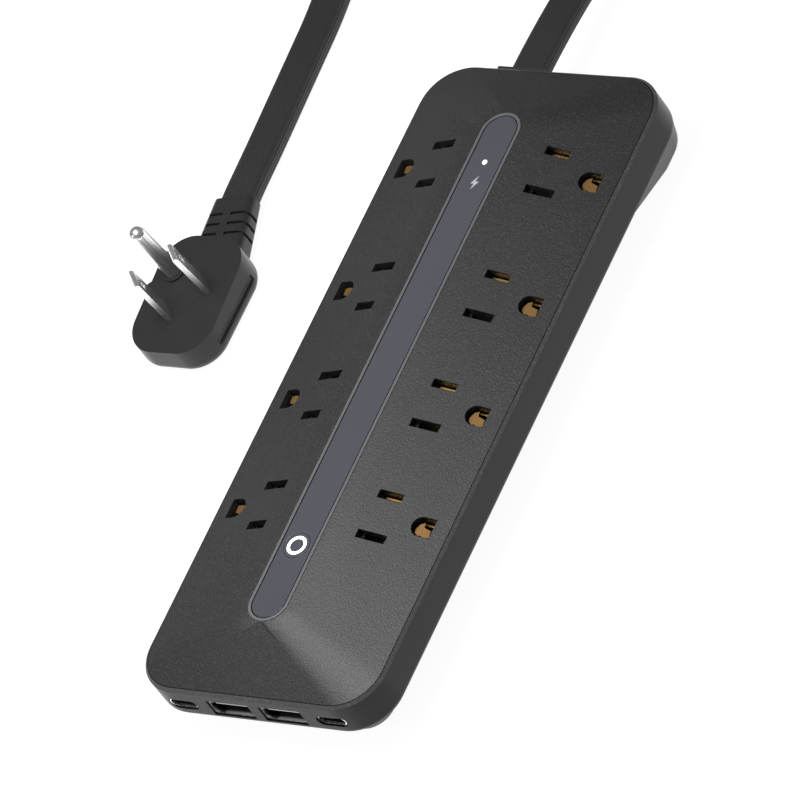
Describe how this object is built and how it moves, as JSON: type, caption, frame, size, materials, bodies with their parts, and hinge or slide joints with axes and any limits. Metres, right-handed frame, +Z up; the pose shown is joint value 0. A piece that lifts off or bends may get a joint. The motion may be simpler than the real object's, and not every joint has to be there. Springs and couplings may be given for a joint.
{
  "type": "surge-protector power strip",
  "caption": "Low hipped power strip with grounded outlets on both slopes, USB ports at one end, a lit button in a glossy ridge strip, flat cord and angled plug.",
  "frame": {"origin": "on the floor under the middle of the strip's housing", "axes": "+Z up, +Y along the strip to the end where the cord leaves, +X to the right of the ports seen from above"},
  "size_m": [0.1679, 0.3986, 0.0325],
  "materials": {
    "cover_plastic": "fine sand texture",
    "base_plastic": "satin",
    "trim_grey": "satin light grey",
    "lens_gloss": "polished",
    "light_white": "lit diffuser",
    "button_black": "polished",
    "spring_steel": "drawn wire",
    "switch_plastic": "moulded",
    "board_green": "solder mask",
    "carrier_plastic": "moulded",
    "contact_brass": "pressed",
    "insulator_fibre": "fibre sheet",
    "shell_steel": "plated",
    "tongue_white": "moulded",
    "tongue_black": "moulded",
    "transformer_tape": "wound tape",
    "can_sleeve": "shrunk sleeve",
    "chip_black": "moulded",
    "varistor_blue": "dipped coating",
    "fuse_body": "ceramic",
    "film_yellow": "box cast",
    "screw_steel": "zinc plated",
    "foot_rubber": "moulded",
    "cord_rubber": "matte ribbed jacket",
    "clamp_plastic": "moulded",
    "lead_black": "insulation",
    "lead_white": "insulation",
    "lead_green": "insulation",
    "plug_plastic": "satin moulded",
    "insert_plastic": "moulded",
    "prong_nickel": "nickel plated"
  },
  "bodies": {
    "strip": {"base_housing": "base_plastic", "button_spring": "spring_steel", "case_screws": "screw_steel", "charge_controller": "chip_black", "clamp_screws": "screw_steel", "contact_carrier_left": "carrier_plastic", "contact_carrier_right": "carrier_plastic", "cord_clamp": "clamp_plastic", "cord_coil": "cord_rubber", "cord_gland": "cord_rubber", "cord_plug_side": "cord_rubber", "cord_strip_side": "cord_rubber", "film_capacitor": "film_yellow", "ground_lead": "lead_green", "ground_pin": "prong_nickel", "ground_strip_left": "contact_brass", "ground_strip_right": "contact_brass", "hot_blade": "prong_nickel", "hot_lead": "lead_black", "hot_strip_left": "contact_brass", "hot_strip_right": "contact_brass", "indicator_board": "board_green", "indicator_led": "light_white", "insulator_sheet_left": "insulator_fibre", "insulator_sheet_right": "insulator_fibre", "lens_bezel": "trim_grey", "lens_panel": "lens_gloss", "neutral_blade": "prong_nickel", "neutral_lead": "lead_white", "neutral_strip_left": "contact_brass", "neutral_strip_right": "contact_brass", "plug_body": "plug_plastic", "plug_boot": "plug_plastic", "plug_insert": "insert_plastic", "reservoir_capacitors": "can_sleeve", "rubber_foot_1": "foot_rubber", "rubber_foot_2": "foot_rubber", "rubber_foot_3": "foot_rubber", "rubber_foot_4": "foot_rubber", "status_light": "light_white", "surge_board": "board_green", "switch_board": "board_green", "switch_body": "switch_plastic", "thermal_fuse": "fuse_body", "top_cover": "cover_plastic", "transformer": "transformer_tape", "usb_a_shell_left": "shell_steel", "usb_a_shell_right": "shell_steel", "usb_a_tongue_left": "tongue_white", "usb_a_tongue_right": "tongue_white", "usb_board": "board_green", "usb_c_shell_left": "shell_steel", "usb_c_shell_right": "shell_steel", "usb_c_tongue_left": "tongue_black", "usb_c_tongue_right": "tongue_black", "varistors": "varistor_blue"},
    "button": {"power_button": "button_black", "button_light_ring": "light_white", "switch_plunger": "switch_plastic"}
  },
  "joints": [
    {"name": "button_press", "type": "slide", "parent": "strip", "child": "button", "axis": [0, 0, -1], "range_m": [0, 0.0012], "stiffness_N_per_m": 300, "deforming": ["button_spring"]}
  ]
}
